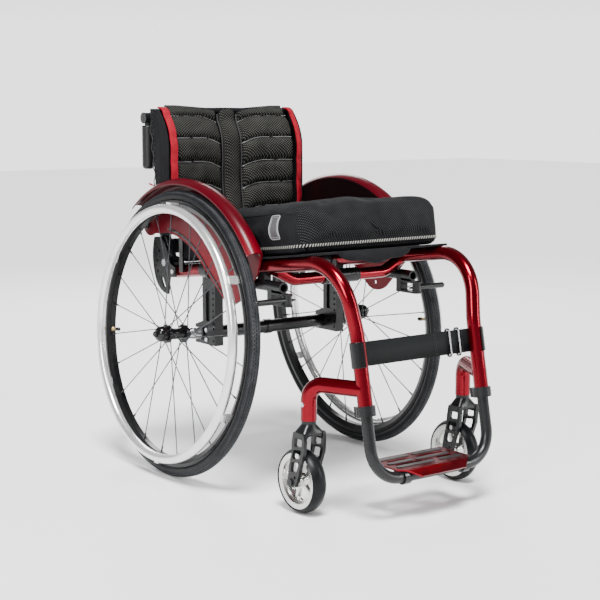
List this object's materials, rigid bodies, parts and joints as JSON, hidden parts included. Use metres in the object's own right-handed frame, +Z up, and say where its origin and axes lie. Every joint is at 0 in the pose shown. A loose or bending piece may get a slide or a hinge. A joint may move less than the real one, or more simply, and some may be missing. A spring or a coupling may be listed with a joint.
{
  "type": "manual wheelchair",
  "caption": "Rigid-frame manual wheelchair with fold-down back, cambered quick-release rear wheels, hand rims, swivel casters, side guards, wheel locks and a height-adjustable footrest.",
  "frame": {"origin": "on the floor, under the middle of the whole chair's length and width", "axes": "+Z up, +Y to the rear, +X to the user's left"},
  "size_m": [0.5826, 0.862, 0.758],
  "materials": {
    "red_paint": "candy red gloss lacquer",
    "guard_red": "gloss red composite",
    "black_anodised": "black anodised, satin",
    "steel": "plated steel",
    "steel_bright": "dark plated steel",
    "black_plastic": "black, satin",
    "rubber_grip": "matt black rubber",
    "fabric_plain": "plain woven black nylon",
    "fabric_mesh": "black spacer mesh",
    "webbing": "black ribbed webbing",
    "caster_rim_silver": "machined",
    "tyre_black": "black rubber with fine tread",
    "rim_black": "black anodised",
    "spoke_steel": "dark steel",
    "handrim_silver": "polished clear anodised"
  },
  "bodies": {
    "frame": {"side_tube_left": "red_paint", "side_tube_right": "red_paint", "leg_clamps": "black_anodised", "seat_cross_tube": "red_paint", "cross_tube_sleeve": "black_anodised", "caster_arm_left": "red_paint", "caster_arm_right": "red_paint", "camber_tube": "black_anodised", "axle_plate_left": "black_anodised", "axle_plate_right": "black_anodised", "axle_receivers": "steel", "seat_sling": "fabric_plain", "seat_cushion": "fabric_mesh", "back_hinge_left": "black_anodised", "back_hinge_right": "black_anodised", "side_guard_left": "guard_red", "side_guard_right": "guard_red", "guard_trim": "black_plastic", "wheel_lock_mount_left": "black_anodised", "wheel_lock_mount_right": "black_anodised", "calf_strap": "webbing", "strap_buckles": "steel", "frame_screws": "steel"},
    "backrest": {"back_cane_left": "black_anodised", "back_cane_right": "black_anodised", "back_rigidizer": "black_anodised", "back_upholstery": "fabric_plain", "back_pad_left": "fabric_mesh", "back_pad_right": "fabric_mesh"},
    "back_release": {"back_release_bar": "black_anodised"},
    "footrest": {"footrest_tube": "black_anodised"},
    "footplate": {"footplate": "red_paint", "footplate_clamps": "black_plastic", "footplate_grips": "rubber_grip"},
    "handle_left": {"push_handle_left": "black_anodised", "push_grip_left": "rubber_grip"},
    "lock_left": {"lock_lever_left": "black_anodised"},
    "caster_fork_left": {"caster_fork_left": "black_anodised"},
    "caster_wheel_left": {"caster_rim_left": "caster_rim_silver", "caster_tyre_left": "tyre_black"},
    "axle_left": {"axle_pin_left": "black_plastic"},
    "axle_button_left": {"axle_button_left": "steel_bright"},
    "rear_wheel_left": {"rear_tyre_left": "tyre_black", "rear_rim_left": "rim_black", "rear_hub_left": "black_plastic", "rear_spokes_left": "spoke_steel", "handrim_left": "handrim_silver"},
    "handle_right": {"push_handle_right": "black_anodised", "push_grip_right": "rubber_grip"},
    "lock_right": {"lock_lever_right": "black_anodised"},
    "caster_fork_right": {"caster_fork_right": "black_anodised"},
    "caster_wheel_right": {"caster_rim_right": "caster_rim_silver", "caster_tyre_right": "tyre_black"},
    "axle_right": {"axle_pin_right": "black_plastic"},
    "axle_button_right": {"axle_button_right": "steel_bright"},
    "rear_wheel_right": {"rear_tyre_right": "tyre_black", "rear_rim_right": "rim_black", "rear_hub_right": "black_plastic", "rear_spokes_right": "spoke_steel", "handrim_right": "handrim_silver"}
  },
  "joints": [
    {"name": "back_fold", "type": "hinge", "parent": "frame", "child": "backrest", "pos_m": [0, 0.254, 0.428], "axis": [1, 0, 0], "range_deg": [0, 65], "deforming": ["seat_cushion"]},
    {"name": "back_release_pull", "type": "slide", "parent": "backrest", "child": "back_release", "axis": [0, 0, 1], "range_m": [0, 0.008], "stiffness_N_per_m": 400, "springref_m": -0.004},
    {"name": "footrest_height", "type": "slide", "parent": "frame", "child": "footrest", "axis": [0, 0.1916, 0.9815], "range_m": [-0.03, 0.05]},
    {"name": "footplate_angle", "type": "hinge", "parent": "footrest", "child": "footplate", "pos_m": [0, -0.40012, 0.082], "axis": [1, 0, 0], "range_deg": [-10, 15]},
    {"name": "push_handle_left_fold", "type": "hinge", "parent": "backrest", "child": "handle_left", "pos_m": [0.17, 0.339, 0.734], "axis": [1, 0, 0], "range_deg": [0, 90]},
    {"name": "wheel_lock_left_swing", "type": "hinge", "parent": "frame", "child": "lock_left", "pos_m": [0.165, -0.161, 0.39], "axis": [0, 0, 1], "range_deg": [0, 10]},
    {"name": "caster_left_swivel", "type": "hinge", "parent": "frame", "child": "caster_fork_left", "pos_m": [0.196, -0.27, 0.2], "axis": [0, 0, 1], "continuous": true},
    {"name": "caster_left_spin", "type": "hinge", "parent": "caster_fork_left", "child": "caster_wheel_left", "pos_m": [0.196, -0.248, 0.062], "axis": [1, 0, 0], "continuous": true},
    {"name": "axle_left_release", "type": "slide", "parent": "frame", "child": "axle_left", "axis": [0.9976, 0, 0.0698], "range_m": [0, 0.1]},
    {"name": "rear_wheel_left_spin", "type": "hinge", "parent": "axle_left", "child": "rear_wheel_left", "pos_m": [0.233, 0.136, 0.29431], "axis": [0.9976, 0, 0.0698], "continuous": true},
    {"name": "axle_button_left_press", "type": "slide", "parent": "axle_left", "child": "axle_button_left", "axis": [-0.9976, 0, -0.0698], "range_m": [0, 0.005], "stiffness_N_per_m": 600, "springref_m": -0.003},
    {"name": "push_handle_right_fold", "type": "hinge", "parent": "backrest", "child": "handle_right", "pos_m": [-0.17, 0.339, 0.734], "axis": [1, 0, 0], "range_deg": [0, 90]},
    {"name": "wheel_lock_right_swing", "type": "hinge", "parent": "frame", "child": "lock_right", "pos_m": [-0.165, -0.161, 0.39], "axis": [0, 0, -1], "range_deg": [0, 10]},
    {"name": "caster_right_swivel", "type": "hinge", "parent": "frame", "child": "caster_fork_right", "pos_m": [-0.196, -0.27, 0.2], "axis": [0, 0, 1], "continuous": true},
    {"name": "caster_right_spin", "type": "hinge", "parent": "caster_fork_right", "child": "caster_wheel_right", "pos_m": [-0.196, -0.248, 0.062], "axis": [1, 0, 0], "continuous": true},
    {"name": "axle_right_release", "type": "slide", "parent": "frame", "child": "axle_right", "axis": [-0.9976, 0, 0.0698], "range_m": [0, 0.1]},
    {"name": "rear_wheel_right_spin", "type": "hinge", "parent": "axle_right", "child": "rear_wheel_right", "pos_m": [-0.233, 0.136, 0.29431], "axis": [0.9976, 0, -0.0698], "continuous": true},
    {"name": "axle_button_right_press", "type": "slide", "parent": "axle_right", "child": "axle_button_right", "axis": [0.9976, 0, -0.0698], "range_m": [0, 0.005], "stiffness_N_per_m": 600, "springref_m": -0.003}
  ]
}
